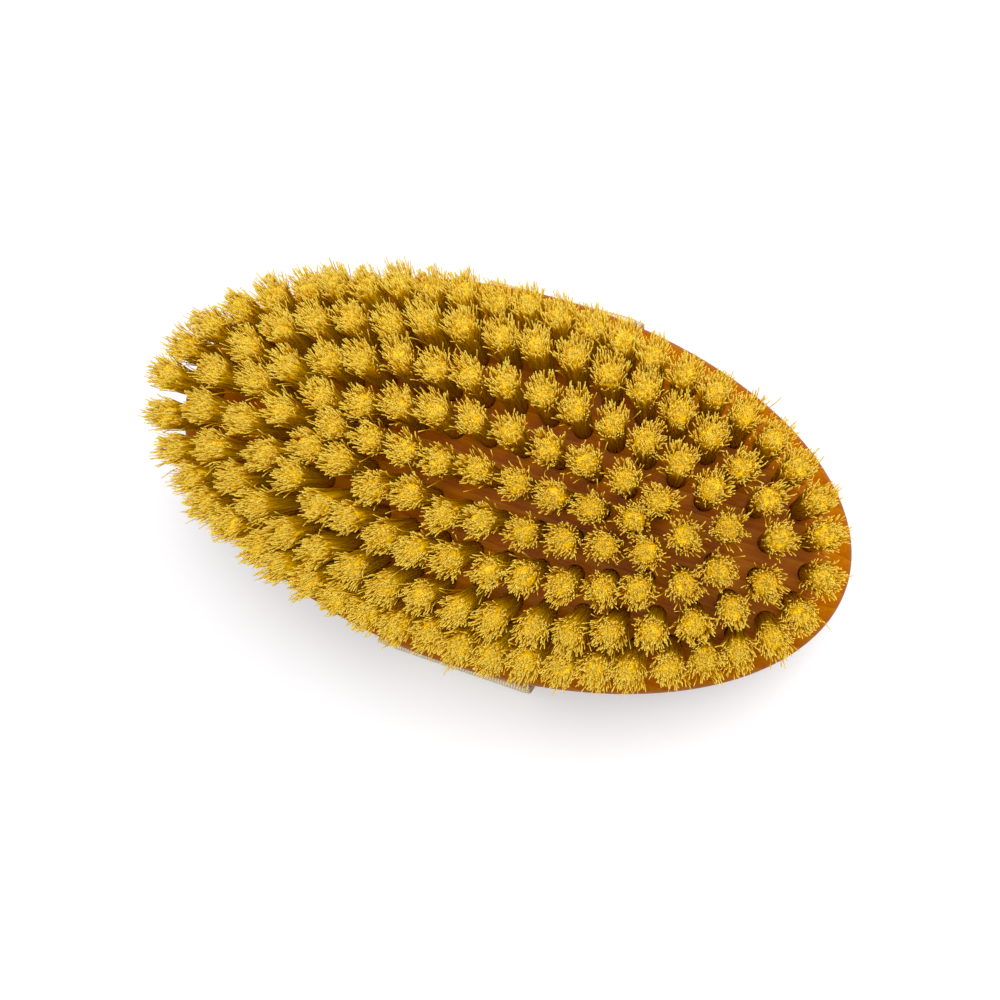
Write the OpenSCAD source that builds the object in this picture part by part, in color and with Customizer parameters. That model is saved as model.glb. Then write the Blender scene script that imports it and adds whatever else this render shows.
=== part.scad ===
// Oval hand brush lying on its back, bristles up.
// A wooden block is drilled with blind holes that splay outwards. Each hole holds one tuft,
// folded round a flat wire anchor, and a webbing hand strap is nailed to the two long sides.
// X runs along the block, Y across it and Z up. The origin is on the surface under the middle
// of the strap. All sizes are millimetres.

/* [Block] */
// Length of the oval block
block_length = 132; // [110:1:165]
// Width of the oval block
block_width = 72; // [60:1:90]
// Thickness of the block in the middle, from bristle face to back
block_thickness = 18; // [15:0.5:24]
// Rounding between the bristle face and the side
face_edge_radius = 3; // [1:0.5:4]
// Rounding between the side and the back
back_edge_radius = 5; // [2:0.5:6]
// Height of the low crown of the back
back_crown = 1.5; // [0.5:0.25:3]

/* [Tuft holes] */
// Diameter of a tuft hole
hole_diameter = 3.8; // [3:0.1:4.6]
// Depth of a tuft hole down to the shoulder of its drill point
hole_depth = 9; // [7:0.5:10]
// Included angle of the drill point
drill_point_angle = 118; // [90:2:140]
// Width of the flat that the drill's chisel edge leaves at the bottom of a hole
chisel_width = 0.8; // [0.4:0.1:1.6]
// Distance from the block's end to the outer ring of holes
end_margin = 7.1; // [6:0.1:10]
// Distance from the block's side to the outer ring of holes
side_margin = 9.6; // [8:0.1:12]
// Step from one ring to the next at the ends of the block
ring_step_end = 7.6; // [6.5:0.1:8.5]
// Step from the outer ring to the second ring at the sides of the block
outer_step_side = 5.3; // [5:0.1:6]
// Spacing of the holes along the outer ring
outer_ring_pitch = 5.8; // [5.4:0.1:7]
// Spacing of the holes along the second ring
second_ring_pitch = 6.6; // [5.6:0.1:8]
// Spacing of the holes along the third ring
third_ring_pitch = 6.5; // [5.6:0.1:8]
// Spacing of the holes along the inner ring
inner_ring_pitch = 6.9; // [5.6:0.1:8]
// Spacing of the holes along the centre row
centre_row_pitch = 6.8; // [5.6:0.1:8]
// Outward lean of the outer ring at the ends of the block, in degrees
end_splay = 5; // [0:0.5:8]
// Outward lean of the outer ring at the sides of the block, in degrees
side_splay = 12.5; // [0:0.5:15]

/* [Tufts] */
// Length of the tufts above the bristle face, along the tuft
tuft_length = 19; // [12:0.5:26]
// Gap left between the tips of neighbouring tufts
tip_gap = 0.4; // [0.2:0.1:1.5]
// Gap left all round between a tuft and the wall of its hole
tuft_clearance = 0.05; // [0.02:0.01:0.15]
// Height of the low crown on the trimmed end of a tuft
tip_crown = 0.6; // [0.2:0.1:1.2]

/* [Anchors] */
// Thickness of the flat wire that the anchors are cut from
anchor_thickness = 0.35; // [0.25:0.05:0.6]
// Width of the flat wire, which stands upright in the hole
anchor_height = 2; // [1.4:0.1:2.6]
// How far each end of an anchor bites into the wood beside the hole
anchor_bite = 0.5; // [0.3:0.05:0.7]
// Thickness of the bend of filaments under the anchor
bend_thickness = 1.6; // [1.2:0.1:1.9]

/* [Strap] */
// Width of the webbing
strap_width = 30; // [20:1:40]
// Thickness of one layer of the webbing
webbing_thickness = 0.6; // [0.4:0.1:1]
// Height of the hand slot between the strap and the crown of the back
hand_slot = 14.2; // [11:0.1:30]
// Inner radius of the strap where it turns under the block
strap_bend_radius = 10; // [6:0.5:12]
// How far the slack strap bellies out below its hems
strap_belly = 2; // [0.5:0.25:3]
// Radius of the two curves of the belly, where the strap leaves room for it
strap_belly_radius = 6; // [3:0.5:12]
// Length of the turned-in hem at each end of the strap
hem_length = 7; // [6:0.5:10]
// Gap between the hem and the widest line of the block
strap_clearance = 0.05; // [0.02:0.01:0.3]

/* [Strap nails] */
// Number of nails in each end of the strap
nails_per_side = 2; // [1:1:3]
// Spacing of the nails along the block
nail_spacing = 18; // [10:1:20]
// Height of the nails above the low edge of the block's back
nail_back_margin = 4; // [3:0.5:6]
// Distance from the folded end of the strap down to the nails
nail_setback = 4; // [3.2:0.1:5]
// Diameter of the nail shank
nail_shank_diameter = 1.4; // [1:0.1:1.8]
// Length of the nail under its head
nail_length = 10; // [7:0.5:11]
// Diameter of the nail head
nail_head_diameter = 5; // [3:0.5:6]
// Height of the low domed nail head
nail_head_height = 0.5; // [0.4:0.1:1.6]
// Gap left all round a nail shank in the strap and the block
nail_clearance = 0.05; // [0.02:0.01:0.15]

/* [Hidden] */

// Fineness of the round shapes
round_facets = 48;
// How far cutting solids run past the surface that they open
overcut = 1;

// Heights of the main levels above the surface
back_height = webbing_thickness + hand_slot;
face_height = back_height + block_thickness;
nail_height = back_height + back_crown + nail_back_margin;
strap_end_height = nail_height + nail_setback;

// Faces of the strap beside the block
hem_inner_y = block_width / 2 + strap_clearance;
hem_outer_y = hem_inner_y + 2 * webbing_thickness;

// The belly: an outward curve above the bend, then a hollow of the same radius that ends at the
// foot of the hem or lower. The centres are [distance from the middle, height].
belly_base = strap_bend_radius + webbing_thickness;
belly_room = strap_end_height - hem_length - belly_base;
belly_radius = min(
    strap_belly_radius, (belly_room * belly_room + strap_belly * strap_belly) / 4 / strap_belly);
belly_height = sqrt(strap_belly * (4 * belly_radius - strap_belly));
belly_centre = [hem_outer_y + strap_belly - belly_radius, belly_base];
hollow_centre = [hem_outer_y + belly_radius, belly_base + belly_height];

// Half length and half width of the outer ring of holes
field_half_length = block_length / 2 - end_margin;
field_half_width = block_width / 2 - side_margin;

// Inside the outer ring, the rings divide what is left of the width evenly
inner_step_side = (field_half_width - outer_step_side) / 3;

// Drill point below the straight part of a hole
drill_point_depth = (hole_diameter - chisel_width) / 2 / tan(drill_point_angle / 2);

// An anchor stands on the bend of its tuft
anchor_base = bend_thickness - hole_depth;
anchor_width = hole_diameter + 2 * anchor_bite;

// The tufts flare until their tips nearly meet
tip_diameter = min(
    outer_ring_pitch, second_ring_pitch, third_ring_pitch, inner_ring_pitch, centre_row_pitch,
    outer_step_side, inner_step_side) - tip_gap;

// Distance from the centre row to the inner ring's holes that keeps leaning tufts apart
row_gap = (tip_diameter + tip_gap) / (1 + tuft_length * tan(side_splay) / field_half_width);

// Steps used to measure an oval
oval_steps = 360;

// Shares of a tuft's length at which the curve of its flare has a point
flare_steps = [1 / 3, 2 / 3, 1];

// Half length and half width of ring 0, the outermost, to ring 3, the inner ring
function ring_size(ring) = [
    field_half_length - ring * ring_step_end,
    ring == 0 ? field_half_width : field_half_width - outer_step_side - (ring - 1) * inner_step_side
];

// Point of an oval at an angle of its parametric equation
function oval_point(size, angle) = [size.x * cos(angle), size.y * sin(angle)];

// Table that gives the angle for each distance walked along an oval
function oval_table(size) = [
    for (i = 0, walked = 0; i <= oval_steps;
        walked = walked + norm(
            oval_point(size, (i + 1) * 360 / oval_steps) - oval_point(size, i * 360 / oval_steps)),
        i = i + 1)
    [walked, i * 360 / oval_steps]
];

// Hole positions on a ring, evenly spaced and the same at both ends of the block.
// A phase of 0 puts a hole on the long axis, and a phase of 0.5 puts a gap there.
function ring_points(size, pitch, phase) =
    let (
        table = oval_table(size),
        girth = table[oval_steps][0],
        holes = 2 * round(girth / pitch / 2)
    )
    [for (i = [0 : holes - 1]) oval_point(size, lookup((i + phase) * girth / holes, table))];

// Hole positions on the centre row, as far as the inner ring leaves room beside it
function row_points() =
    let (
        size = ring_size(3),
        half_length = size.x * sqrt(1 - pow(min(1, row_gap / size.y), 2)),
        half_count = floor(half_length / centre_row_pitch)
    )
    [for (i = [-half_count : half_count]) [i * centre_row_pitch, 0]];

outer_ring_points = ring_points(ring_size(0), outer_ring_pitch, 0);
second_ring_points = ring_points(ring_size(1), second_ring_pitch, 0.5);
third_ring_points = ring_points(ring_size(2), third_ring_pitch, 0.5);
inner_ring_points = ring_points(ring_size(3), inner_ring_pitch, 0);
centre_row_points = row_points();
all_points = concat(
    outer_ring_points, second_ring_points, third_ring_points, inner_ring_points, centre_row_points);

// Nail positions along the block
nail_offsets = [for (i = [0 : nails_per_side - 1]) (i - (nails_per_side - 1) / 2) * nail_spacing];

// Places children at a hole: origin on the bristle face, Z along the leaning hole
module at_hole(point) {
    lean_x = atan(tan(end_splay) * point.x / field_half_length);
    lean_y = atan(tan(side_splay) * point.y / field_half_width * cos(lean_x));
    translate([point.x, point.y, face_height])
        rotate([-lean_y, lean_x, 0])
            children();
}

// Places children at each nail of one side, with Z pointing out of the block
module at_nails(side) {
    for (x = nail_offsets)
        translate([x, side * hem_outer_y, nail_height])
            rotate([-side * 90, 0, 0])
                children();
}

// Half section of the block at its end of the short axis, turned round to make the oval
module block_half_section() {
    half_width = block_width / 2;
    crown_chord = half_width - back_edge_radius;
    crown_radius = (crown_chord * crown_chord + back_crown * back_crown) / 2 / back_crown;
    intersection() {
        union() {
            translate([0, back_crown])
                square([half_width - face_edge_radius, block_thickness - back_crown]);
            translate([0, back_crown + back_edge_radius])
                square([half_width, block_thickness - back_crown - back_edge_radius - face_edge_radius]);
            translate([half_width - face_edge_radius, block_thickness - face_edge_radius])
                circle(r = face_edge_radius, $fn = round_facets);
            translate([half_width - back_edge_radius, back_crown + back_edge_radius])
                circle(r = back_edge_radius, $fn = round_facets);
            intersection() {
                translate([0, crown_radius])
                    circle(r = crown_radius, $fn = 4 * round_facets);
                square([crown_chord, back_crown]);
            }
        }
        square([half_width, block_thickness]);
    }
}

// Blind hole with its drill point
module hole() {
    rotate_extrude($fn = round_facets)
        polygon([
            [0, -hole_depth - drill_point_depth],
            [chisel_width / 2, -hole_depth - drill_point_depth],
            [hole_diameter / 2, -hole_depth],
            [hole_diameter / 2, overcut],
            [0, overcut]
        ]);
}

// Flat wire anchor, standing across the hole on the bend of the tuft
module anchor() {
    translate([-anchor_width / 2, -anchor_thickness / 2, anchor_base])
        cube([anchor_width, anchor_thickness, anchor_height]);
}

// Tuft: a bundle folded under its anchor, straight in the hole and flared above the face
module tuft() {
    root_radius = hole_diameter / 2 - tuft_clearance;
    tip_radius = tip_diameter / 2;
    flare = tip_radius - root_radius;
    side_length = tuft_length - tip_crown;
    root_shoulder = (root_radius - chisel_width / 2) / tan(drill_point_angle / 2);
    difference() {
        rotate_extrude($fn = round_facets)
            polygon([
                [0, -hole_depth - drill_point_depth],
                [chisel_width / 2, -hole_depth - drill_point_depth],
                [root_radius, -hole_depth - drill_point_depth + root_shoulder],
                [root_radius, 0],
                for (t = flare_steps) [root_radius + flare * (1 - (1 - t) ^ 2), t * side_length],
                [tip_radius / 2, tuft_length],
                [0, tuft_length]
            ]);
        anchor();
    }
}

// Round-headed nail with its point into the wood and the underside of its head at Z = 0
module nail() {
    shank_radius = nail_shank_diameter / 2;
    point_radius = shank_radius / 4;
    head_radius = nail_head_diameter / 2;
    dome_radius = (head_radius * head_radius + nail_head_height * nail_head_height)
        / 2 / nail_head_height;
    rotate_extrude($fn = round_facets)
        union() {
            polygon([
                [0, -nail_length],
                [point_radius, -nail_length],
                [shank_radius, -nail_length + 2 * shank_radius],
                [shank_radius, 0],
                [0, 0]
            ]);
            intersection() {
                translate([0, nail_head_height - dome_radius])
                    circle(r = dome_radius, $fn = 2 * round_facets);
                square([head_radius, nail_head_height]);
            }
        }
}

// Hole for a nail shank through the strap and into the block
module nail_bore() {
    bore_radius = nail_shank_diameter / 2 + nail_clearance;
    point_radius = nail_shank_diameter / 8 + nail_clearance;
    rotate_extrude($fn = round_facets)
        polygon([
            [0, -nail_length - nail_clearance],
            [point_radius, -nail_length - nail_clearance],
            [bore_radius, -nail_length + nail_shank_diameter],
            [bore_radius, overcut],
            [0, overcut]
        ]);
}

// Undrilled block: four quarter turns of the half section, drawn out along X to the oval
module block_body() {
    for (quarter = [0 : 3])
        scale([block_length / block_width, 1, 1])
            rotate_extrude(angle = 90, start = 90 * quarter, $fn = 4 * round_facets)
                block_half_section();
}

// Oval block with its tuft holes, anchor slots and nail holes
module block() {
    color("#b5651d")
        difference() {
            translate([0, 0, back_height])
                block_body();
            for (point = all_points)
                at_hole(point) {
                    hole();
                    anchor();
                }
            for (side = [-1, 1])
                at_nails(side) nail_bore();
        }
}

// Open channel section of the strap between two depths from its outer face
module strap_band(from, to, height) {
    difference() {
        strap_outline(from, height);
        strap_outline(to, height + overcut);
    }
}

// Half section across the strap: a side that bellies out and turns under the block
module strap_half_outline(inset, height) {
    bend_x = hem_outer_y + strap_belly - belly_base;
    translate([0, inset])
        square([bend_x, belly_base - inset]);
    translate([0, belly_base])
        square([hem_outer_y - inset, height - belly_base]);
    intersection() {
        translate([bend_x, belly_base])
            circle(r = belly_base - inset, $fn = 2 * round_facets);
        translate([bend_x, 0])
            square(belly_base);
    }
    intersection() {
        translate(belly_centre)
            circle(r = belly_radius - inset, $fn = 2 * round_facets);
        translate(belly_centre)
            square([belly_radius, belly_height]);
    }
    difference() {
        polygon([belly_centre, hollow_centre, [belly_centre.x, hollow_centre.y]]);
        translate(hollow_centre)
            circle(r = belly_radius + inset, $fn = 2 * round_facets);
    }
}

// Whole section across the strap
module strap_outline(inset, height) {
    strap_half_outline(inset, height);
    mirror([1, 0])
        strap_half_outline(inset, height);
}

// Webbing hand strap with its two ends turned in, pierced for the nails
module strap() {
    color("#d8c9a3")
        difference() {
            rotate([90, 0, 90])
                linear_extrude(strap_width, center = true) {
                    strap_band(0, webbing_thickness, strap_end_height);
                    for (side = [-1, 1])
                        translate([side * (hem_outer_y - webbing_thickness), strap_end_height - hem_length / 2])
                            square([2 * webbing_thickness, hem_length], center = true);
                }
            for (side = [-1, 1])
                at_nails(side) nail_bore();
        }
}

module strap_nails_left() {
    color("#b4b6b9") at_nails(1) nail();
}

module strap_nails_right() {
    color("#b4b6b9") at_nails(-1) nail();
}

// Tufts of one ring or row
module tufts(points) {
    color("#e0b92c")
        for (point = points)
            at_hole(point) tuft();
}

// Anchors of one ring or row
module anchors(points) {
    color("#b8b2a6")
        for (point = points)
            at_hole(point) anchor();
}

block();
strap();
strap_nails_left();
strap_nails_right();
tufts(centre_row_points);  // tufts_centre_row
tufts(inner_ring_points);  // tufts_inner_ring
tufts(third_ring_points);  // tufts_third_ring
tufts(second_ring_points);  // tufts_second_ring
tufts(outer_ring_points);  // tufts_outer_ring
anchors(centre_row_points);  // anchors_centre_row
anchors(inner_ring_points);  // anchors_inner_ring
anchors(third_ring_points);  // anchors_third_ring
anchors(second_ring_points);  // anchors_second_ring
anchors(outer_ring_points);  // anchors_outer_ring
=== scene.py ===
"""Looks of an oval hand brush: a lacquered block, folded fibre tufts and a webbing hand strap.

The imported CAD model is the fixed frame. The block, the tufts and the strap get finer pieces of
their own in its place. The nails and the anchors keep their CAD shapes with new materials.
Sizes are millimetres, as in the part's source, until a mesh is made, which is in metres.
"""

import logging
import math
from dataclasses import dataclass, field
from enum import Enum
from typing import Any, Iterable, Sequence

import bpy
import numpy as np
from mathutils import Euler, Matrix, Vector


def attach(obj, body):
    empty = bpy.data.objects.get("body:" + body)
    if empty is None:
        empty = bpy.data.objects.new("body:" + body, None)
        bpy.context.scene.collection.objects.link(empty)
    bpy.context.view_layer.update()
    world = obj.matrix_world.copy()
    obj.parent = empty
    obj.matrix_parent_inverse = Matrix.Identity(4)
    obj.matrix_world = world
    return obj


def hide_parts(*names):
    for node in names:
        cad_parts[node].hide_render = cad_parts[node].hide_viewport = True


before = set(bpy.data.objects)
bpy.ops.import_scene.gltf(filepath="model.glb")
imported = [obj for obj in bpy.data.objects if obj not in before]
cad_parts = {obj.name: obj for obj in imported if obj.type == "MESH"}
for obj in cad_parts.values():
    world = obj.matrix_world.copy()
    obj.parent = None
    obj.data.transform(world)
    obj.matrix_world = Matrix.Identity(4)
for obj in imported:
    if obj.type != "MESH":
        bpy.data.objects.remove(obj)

MM = 0.001
# Length after which the wave texture repeats at a scale of 1
WAVE_PERIOD = math.tau / 20
ROOT = "root"
log = logging.getLogger("brush")


# Helpers for meshes and materials


def linear(hex_colour: str) -> tuple[float, float, float, float]:
    """Turns an sRGB hex colour into the linear colour that Blender's sockets take.

    Args:
        hex_colour: six hex digits with a leading hash sign.

    Returns:
        Linear red, green and blue, with an alpha of 1.
    """
    channels = [int(hex_colour[i : i + 2], 16) / 255 for i in (1, 3, 5)]
    red, green, blue = (
        c / 12.92 if c <= 0.04045 else ((c + 0.055) / 1.055) ** 2.4 for c in channels
    )
    return red, green, blue, 1.0


def add_node(
    tree: bpy.types.NodeTree,
    kind: str,
    settings: dict[str, Any] | None = None,
    inputs: dict[str | int, Any] | None = None,
) -> bpy.types.Node:
    """Adds a node to a tree, sets it up, and fills its inputs with values or links.

    Args:
        tree: the node tree that gets the node.
        kind: the node's type name.
        settings: attributes of the node. The name "stops" stands for a colour ramp's stops,
            as pairs of position and hex colour.
        inputs: input names or numbers, each with a value or with the socket that feeds it.

    Returns:
        The new node.
    """
    node = tree.nodes.new(kind)
    for name, value in (settings or {}).items():
        if name == "stops":
            elements = node.color_ramp.elements
            while len(elements) < len(value):
                elements.new(1.0)
            for stop, (position, colour) in zip(elements, value):
                stop.position = position
                stop.color = linear(colour)
        else:
            setattr(node, name, value)
    for name, value in (inputs or {}).items():
        if isinstance(value, bpy.types.NodeSocket):
            tree.links.new(value, node.inputs[name])
        else:
            node.inputs[name].default_value = value
    return node


def noise(
    tree: bpy.types.NodeTree, place: bpy.types.NodeSocket, scale: float, detail: float
) -> bpy.types.Node:
    """Adds a noise texture."""
    inputs = {"Vector": place, "Scale": scale, "Detail": detail}
    return add_node(tree, "ShaderNodeTexNoise", inputs=inputs)


def stretch(
    tree: bpy.types.NodeTree,
    place: bpy.types.NodeSocket,
    size: tuple[float, float, float],
    turn: float = 0.0,
) -> bpy.types.NodeSocket:
    """Scales places so that a texture's mark of size 1 gets a real size.

    Args:
        tree: the material's node tree.
        place: places in metres.
        size: the mark's real size along X, Y and Z, in millimetres.
        turn: turn about Z, in radians.

    Returns:
        The scaled places.
    """
    scale = tuple(1 / (length * MM) for length in size)
    inputs = {"Vector": place, "Scale": scale, "Rotation": (0.0, 0.0, turn)}
    return add_node(tree, "ShaderNodeMapping", inputs=inputs).outputs[0]


def ramp(
    tree: bpy.types.NodeTree, stops: Sequence[tuple[float, str]], value: bpy.types.NodeSocket
) -> bpy.types.NodeSocket:
    """Turns a value into a colour, by stops of position and hex colour."""
    return add_node(tree, "ShaderNodeValToRGB", {"stops": stops}, {"Fac": value}).outputs["Color"]


def bump(
    tree: bpy.types.NodeTree, height: bpy.types.NodeSocket, depth: float, strength: float
) -> bpy.types.NodeSocket:
    """Turns a height from 0 to 1 into a relief as deep as depth, in millimetres."""
    inputs = {"Strength": strength, "Distance": depth * MM, "Height": height}
    return add_node(tree, "ShaderNodeBump", inputs=inputs).outputs[0]


def between(
    tree: bpy.types.NodeTree, value: bpy.types.NodeSocket, low: float, high: float
) -> bpy.types.NodeSocket:
    """Turns a value from 0 to 1 into one from low to high."""
    inputs = {"Value": value, "To Min": low, "To Max": high}
    return add_node(tree, "ShaderNodeMapRange", inputs=inputs).outputs[0]


def combine(
    tree: bpy.types.NodeTree,
    operation: str,
    first: bpy.types.NodeSocket,
    second: bpy.types.NodeSocket | float,
) -> bpy.types.NodeSocket:
    """Does one sum with two values."""
    inputs = {0: first, 1: second}
    return add_node(tree, "ShaderNodeMath", {"operation": operation}, inputs).outputs[0]


def new_material(name: str) -> tuple[bpy.types.Material, bpy.types.NodeTree]:
    """Makes an empty node material.

    Args:
        name: the material's name.

    Returns:
        The material and its empty node tree.
    """
    material = bpy.data.materials.new(name)
    material.use_nodes = True
    material.node_tree.nodes.clear()
    return material, material.node_tree


def show_surface(tree: bpy.types.NodeTree, shader: bpy.types.Node) -> None:
    """Feeds a shader to the material's output."""
    add_node(tree, "ShaderNodeOutputMaterial", inputs={"Surface": shader.outputs[0]})


def new_mesh(name: str, points: np.ndarray, faces: Iterable[np.ndarray]) -> bpy.types.Mesh:
    """Makes a smooth mesh from arrays.

    Args:
        name: the mesh's name.
        points: one row for each vertex, in millimetres.
        faces: arrays of vertex numbers, one row for each face. Each array has faces with one
            number of corners.

    Returns:
        The mesh, in metres.
    """
    groups = [np.asarray(group, np.int32) for group in faces]
    corners = np.concatenate([group.ravel() for group in groups])
    sizes = np.concatenate([np.full(len(group), group.shape[1]) for group in groups])
    starts = np.concatenate([[0], np.cumsum(sizes)[:-1]]).astype(np.int32)
    mesh = bpy.data.meshes.new(name)
    mesh.vertices.add(len(points))
    mesh.vertices.foreach_set("co", (np.asarray(points) * MM).ravel().astype(np.float32))
    mesh.loops.add(len(corners))
    mesh.loops.foreach_set("vertex_index", corners)
    mesh.polygons.add(len(starts))
    mesh.polygons.foreach_set("loop_start", starts)
    mesh.update(calc_edges=True)
    mesh.shade_smooth()
    return mesh


def new_object(name: str, mesh: bpy.types.Mesh) -> bpy.types.Object:
    """Puts a mesh into the scene as an object."""
    piece = bpy.data.objects.new(name, mesh)
    bpy.context.collection.objects.link(piece)
    return piece


def show_piece(piece: bpy.types.Object, nodes: Sequence[str]) -> None:
    """Ties a finished piece to the frame and reports it.

    Args:
        piece: the object.
        nodes: the CAD nodes that it stands for.
    """
    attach(piece, ROOT)
    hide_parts(*nodes)
    log.info("%s stands for %s: %d faces", piece.name, ", ".join(nodes), len(piece.data.polygons))


def dress_node(name: str, material: bpy.types.Material) -> None:
    """Gives a CAD node a finer material and reports it.

    Args:
        name: the CAD node.
        material: the material for all of its slots.
    """
    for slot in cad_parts[name].material_slots:
        slot.material = material
    log.info("%s keeps its CAD shape, with %s", name, material.name)


def stacked_faces(rows: int, around: int) -> list[np.ndarray]:
    """Faces of a closed body made of rings of points, one above the other.

    Args:
        rows: number of rings.
        around: number of points in each ring.

    Returns:
        The side faces, and one flat face for each end.
    """
    number = np.arange(rows * around).reshape(rows, around)
    beside = np.roll(number, -1, axis=1)
    sides = np.stack([number[:-1], beside[:-1], beside[1:], number[1:]], axis=2).reshape(-1, 4)
    return [sides, np.stack([number[0, ::-1], number[-1]])]


def turned_grid(profile: np.ndarray, turns: int) -> tuple[np.ndarray, list[np.ndarray]]:
    """Turns a profile round the Z axis into a closed body.

    Args:
        profile: rows of radius and height, from the bottom of the body to its top.
        turns: number of steps round.

    Returns:
        The points and the faces, with one flat face at each end.
    """
    angles = np.arange(turns) * 2 * math.pi / turns
    round_xy = np.stack([np.cos(angles), np.sin(angles)], axis=1)
    points = np.concatenate(
        [np.column_stack([radius * round_xy, np.full(turns, height)]) for radius, height in profile]
    )
    return points, stacked_faces(len(profile), turns)


# Finishes


@dataclass(frozen=True)
class LacqueredWood:
    """Fine-grained wood, stained amber and lacquered: deep warm colour under a thin clear coat."""

    dark: str = "#a44e00"
    middle: str = "#b26200"
    light: str = "#c07c00"
    ring_spacing: float = 2.8
    drift_length: float = 125.0
    drift_width: float = 25.0
    drift_shift: float = 12.0
    grain_turn: float = 0.06
    pore_width: float = 0.35
    pore_length: float = 9.0
    pore_share: float = 0.75
    pore_depth: float = 0.05
    ripple_size: float = 6.25
    ripple_depth: float = 0.1
    roughness: float = 0.42
    gloss: float = 0.05
    coat: float = 0.04
    coat_roughness: float = 0.2

    def material(self) -> bpy.types.Material:
        """Builds the material.

        Returns:
            Growth rings and pores drawn out along the block, under a coat.
        """
        material, tree = new_material("lacquered_beech")
        place = add_node(tree, "ShaderNodeTexCoord").outputs["Object"]
        drift_size = (self.drift_length, self.drift_width, self.drift_width)
        drift = noise(tree, stretch(tree, place, drift_size, self.grain_turn), 1.0, 2.0)
        shift = self.drift_shift * MM
        shifted = add_node(
            tree,
            "ShaderNodeVectorMath",
            {"operation": "MULTIPLY_ADD"},
            {0: drift.outputs["Color"], 1: (0.0, shift, shift), 2: place},
        ).outputs[0]
        rings = add_node(
            tree,
            "ShaderNodeTexWave",
            {"wave_type": "BANDS", "bands_direction": "Y", "wave_profile": "SAW"},
            {
                "Vector": shifted,
                "Scale": WAVE_PERIOD / (self.ring_spacing * MM),
                "Distortion": 1.5,
                "Detail": 2.0,
                "Detail Scale": 0.6,
            },
        )
        pore_size = (self.pore_length, self.pore_width, self.pore_width)
        pores = noise(tree, stretch(tree, shifted, pore_size), 1.0, 3.0)
        pores.inputs["Roughness"].default_value = 0.6
        grain = add_node(
            tree,
            "ShaderNodeMix",
            {"data_type": "FLOAT"},
            {"Factor": self.pore_share, "A": rings.outputs["Fac"], "B": pores.outputs["Fac"]},
        )
        stops = [(0.28, self.dark), (0.5, self.middle), (0.78, self.light)]
        ripple = noise(tree, place, 1 / (self.ripple_size * MM), 1.0)
        surface = add_node(
            tree,
            "ShaderNodeBsdfPrincipled",
            inputs={
                "Base Color": ramp(tree, stops, grain.outputs[0]),
                "Roughness": self.roughness,
                "IOR": 1.5,
                "Specular IOR Level": self.gloss,
                "Specular Tint": linear(self.light),
                "Coat Weight": self.coat,
                "Coat Roughness": self.coat_roughness,
                "Coat IOR": 1.5,
                "Normal": bump(tree, pores.outputs["Fac"], self.pore_depth, 0.25),
                "Coat Normal": bump(tree, ripple.outputs["Fac"], self.ripple_depth, 0.3),
            },
        )
        show_surface(tree, surface)
        return material


@dataclass(frozen=True)
class PlantFibre:
    """Union fibre, bleached and dyed yellow, then trimmed: matt gold strands, pale cut ends.

    The strands' colour deepens towards the root as painted shade, and the pale ends are partly a
    painted highlight.
    """

    # Colour from the fold (0) to the tip (1): it deepens towards the root, painted shade near the
    # bristle face, and the pale last stop is partly a painted highlight on the cut ends.
    stops: tuple[tuple[float, str], ...] = (
        (0.0, "#f0b800"),
        (0.33, "#fed000"),
        (0.5, "#ffdc00"),
        (0.75, "#ffe000"),
        (0.93, "#ffe414"),
        (1.0, "#fff280"),
    )
    tone_stops: tuple[tuple[float, str], ...] = ((0.0, "#ffffff"), (1.0, "#f4e09c"))
    sheen: str = "#ffd850"
    gloss: float = 0.06
    roughness: float = 0.55
    translucency: float = 0.4

    def material(self) -> bpy.types.Material:
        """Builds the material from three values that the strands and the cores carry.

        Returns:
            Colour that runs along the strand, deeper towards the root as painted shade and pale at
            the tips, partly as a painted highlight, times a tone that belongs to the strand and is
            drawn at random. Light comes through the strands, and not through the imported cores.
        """
        material, tree = new_material("dyed_union_fibre")
        along, tone, packed = (
            add_node(tree, "ShaderNodeAttribute", {"attribute_name": name}).outputs["Fac"]
            for name in ("along", "tone", "packed")
        )
        # The colour along the strand holds painted shade towards the root and, at the tips, a
        # painted highlight that is partly the paler cut ends.
        tinted = add_node(
            tree,
            "ShaderNodeMix",
            {"data_type": "RGBA", "blend_type": "MULTIPLY"},
            {"Factor": 1.0, 6: ramp(tree, self.stops, along), 7: ramp(tree, self.tone_stops, tone)},
        ).outputs[2]
        outside = add_node(
            tree,
            "ShaderNodeBsdfPrincipled",
            inputs={
                "Base Color": tinted,
                "Roughness": self.roughness,
                "IOR": 1.5,
                "Specular IOR Level": self.gloss,
                "Specular Tint": linear(self.sheen),
            },
        )
        through = add_node(tree, "ShaderNodeBsdfTranslucent", inputs={"Color": tinted})
        share = between(tree, packed, self.translucency, 0.0)
        surface = add_node(
            tree,
            "ShaderNodeMixShader",
            inputs={0: share, 1: outside.outputs[0], 2: through.outputs[0]},
        )
        show_surface(tree, surface)
        return material


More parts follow.
